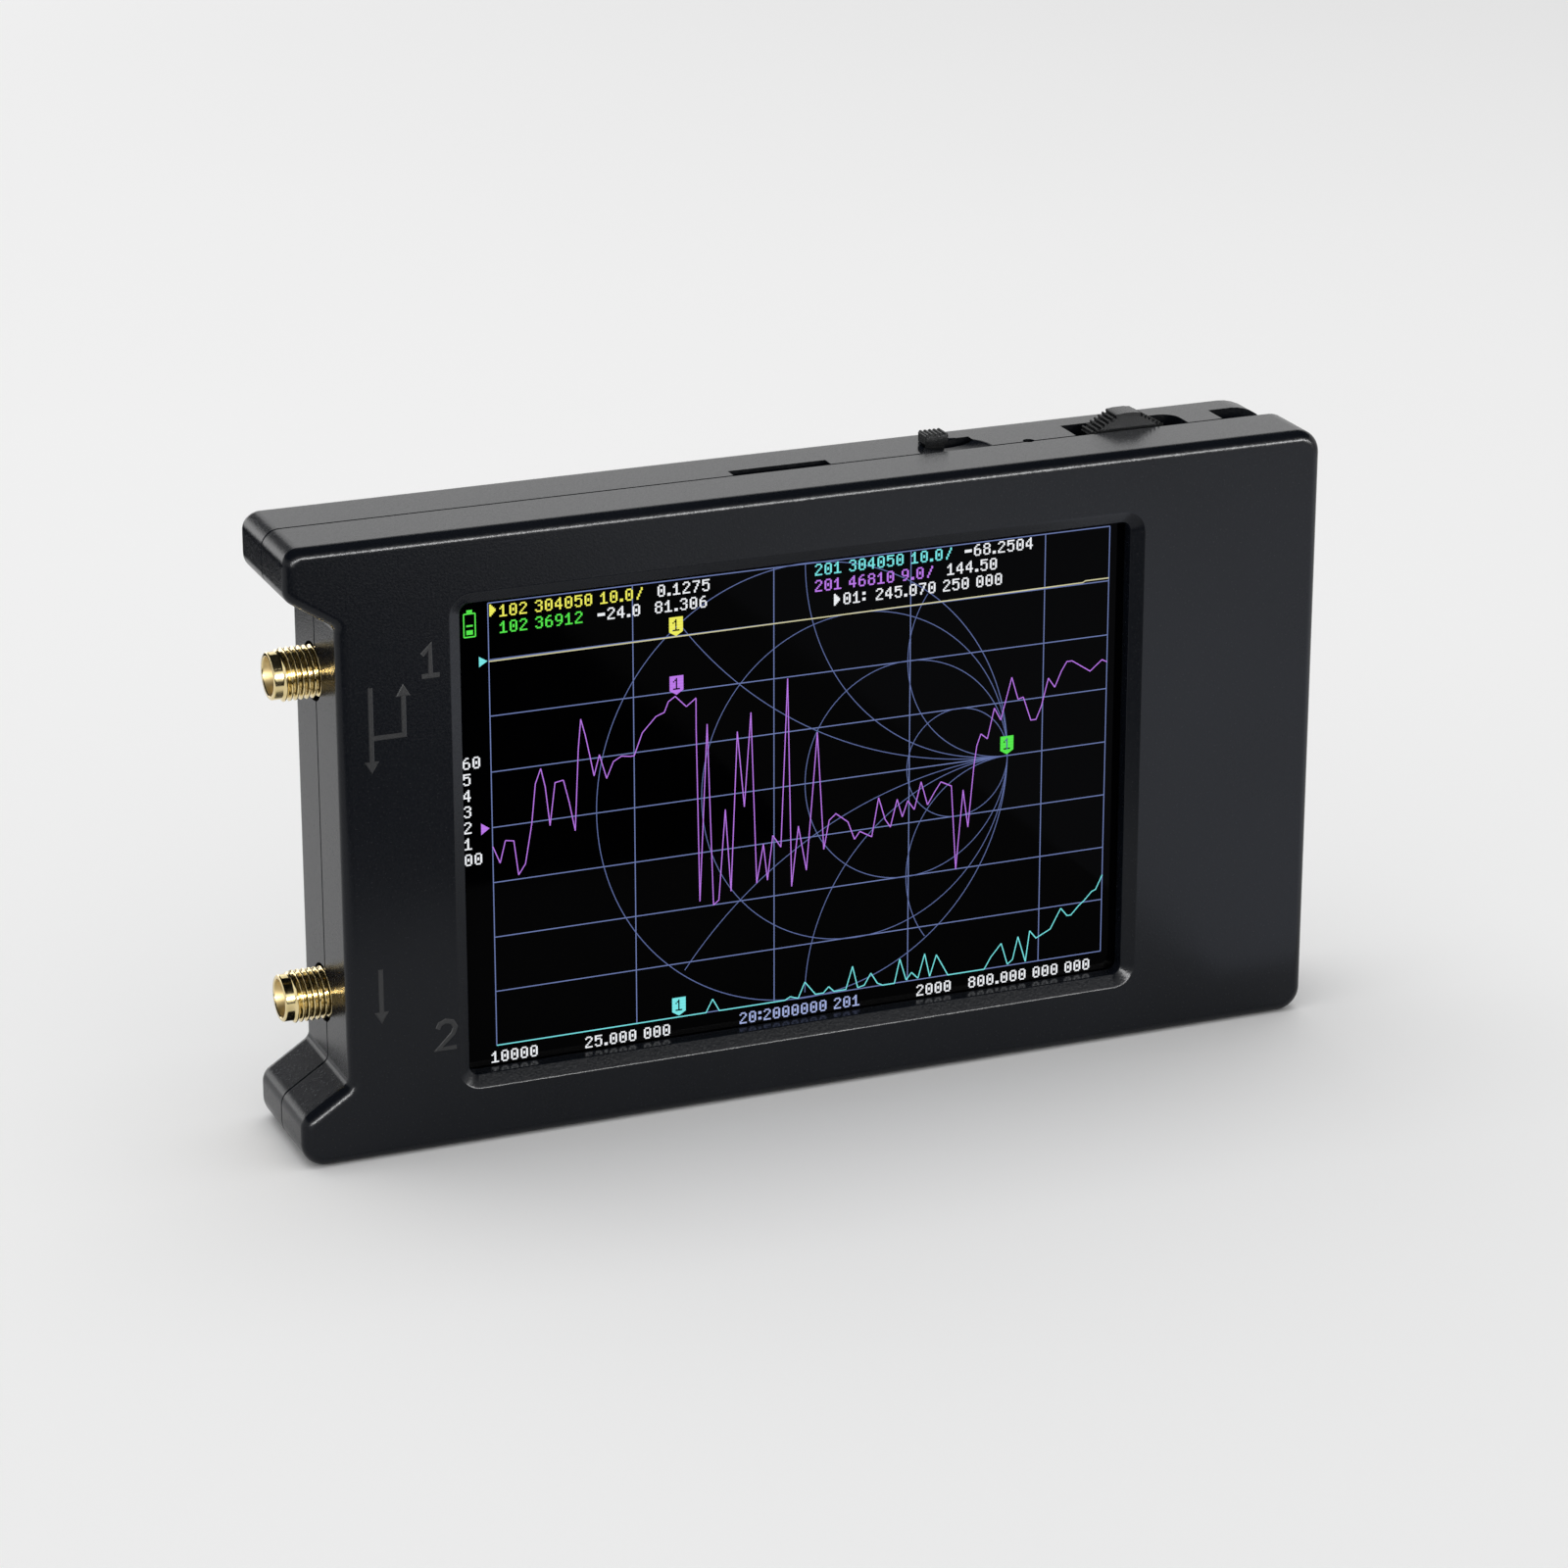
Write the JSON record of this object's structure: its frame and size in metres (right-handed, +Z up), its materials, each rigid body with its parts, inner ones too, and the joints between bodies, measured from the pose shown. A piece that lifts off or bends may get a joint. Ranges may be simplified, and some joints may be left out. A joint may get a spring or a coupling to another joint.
{
  "type": "antenna analyzer",
  "caption": "Hand-held antenna analyzer: flat case with a touch screen, two threaded coaxial ports in a side recess, a ribbed jog lever, a slide switch and a strap post.",
  "frame": {"origin": "under the middle of the case, on the plane of its long bottom edge, halfway through its depth", "axes": "+X to the right of the screen, away from the coaxial ports; +Y from the screen to the back; +Z up, with the case standing on its long bottom edge"},
  "size_m": [0.133, 0.0184, 0.079],
  "materials": {
    "front_plastic": "fine satin",
    "rear_plastic": "fine satin",
    "touch_glass": "polished",
    "display_metal": "thin sheet",
    "ribbon_film": "thin film",
    "ivory_plastic": "moulded",
    "cell_foil": "foil pouch",
    "foam": "foam",
    "red_cover": "wire cover",
    "black_cover": "wire cover",
    "board_laminate": "varnished laminate",
    "chip_resin": "moulded resin",
    "tinned_steel": "tinned",
    "gold_plate": "gold plated",
    "white_insulator": "turned",
    "key_plastic": "satin",
    "light_lens": "clear",
    "screw_steel": "blackened"
  },
  "bodies": {
    "case": {"front_shell": "front_plastic", "rear_shell": "rear_plastic", "touch_panel": "touch_glass", "display_module": "display_metal", "display_ribbon": "ribbon_film", "ribbon_socket": "ivory_plastic", "battery_cell": "cell_foil", "battery_pad": "foam", "battery_socket": "ivory_plastic", "battery_lead_positive": "red_cover", "battery_lead_negative": "black_cover", "main_board": "board_laminate", "synthesizer_chip": "chip_resin", "reference_mixer": "chip_resin", "reflection_mixer": "chip_resin", "transmission_mixer": "chip_resin", "codec_chip": "chip_resin", "processor_chip": "chip_resin", "charger_chip": "chip_resin", "clock_crystal": "tinned_steel", "radio_shield": "tinned_steel", "port_1_body": "gold_plate", "port_1_insulator": "white_insulator", "port_1_contact": "gold_plate", "port_2_body": "gold_plate", "port_2_insulator": "white_insulator", "port_2_contact": "gold_plate", "card_socket": "tinned_steel", "power_switch_body": "tinned_steel", "jog_switch_body": "chip_resin", "status_light": "light_lens", "usb_socket": "tinned_steel", "case_screw_1": "screw_steel", "case_screw_2": "screw_steel", "case_screw_3": "screw_steel", "case_screw_4": "screw_steel"},
    "power_knob": {"power_switch_knob": "key_plastic"},
    "jog_plunger": {"jog_plunger": "ivory_plastic"},
    "jog_lever": {"jog_rocker": "key_plastic"}
  },
  "joints": [
    {"name": "power_slide", "type": "slide", "parent": "case", "child": "power_knob", "axis": [1, 0, 0], "range_m": [0, 0.0034]},
    {"name": "jog_press", "type": "slide", "parent": "case", "child": "jog_plunger", "axis": [0, 0, -1], "range_m": [0, 0.0008], "stiffness_N_per_m": 300},
    {"name": "jog_tilt", "type": "hinge", "parent": "jog_plunger", "child": "jog_lever", "pos_m": [0.0448, 0.0022, 0.0723], "axis": [0, 1, 0], "range_deg": [-12, 12], "stiffness_Nm_per_rad": 0.008}
  ]
}
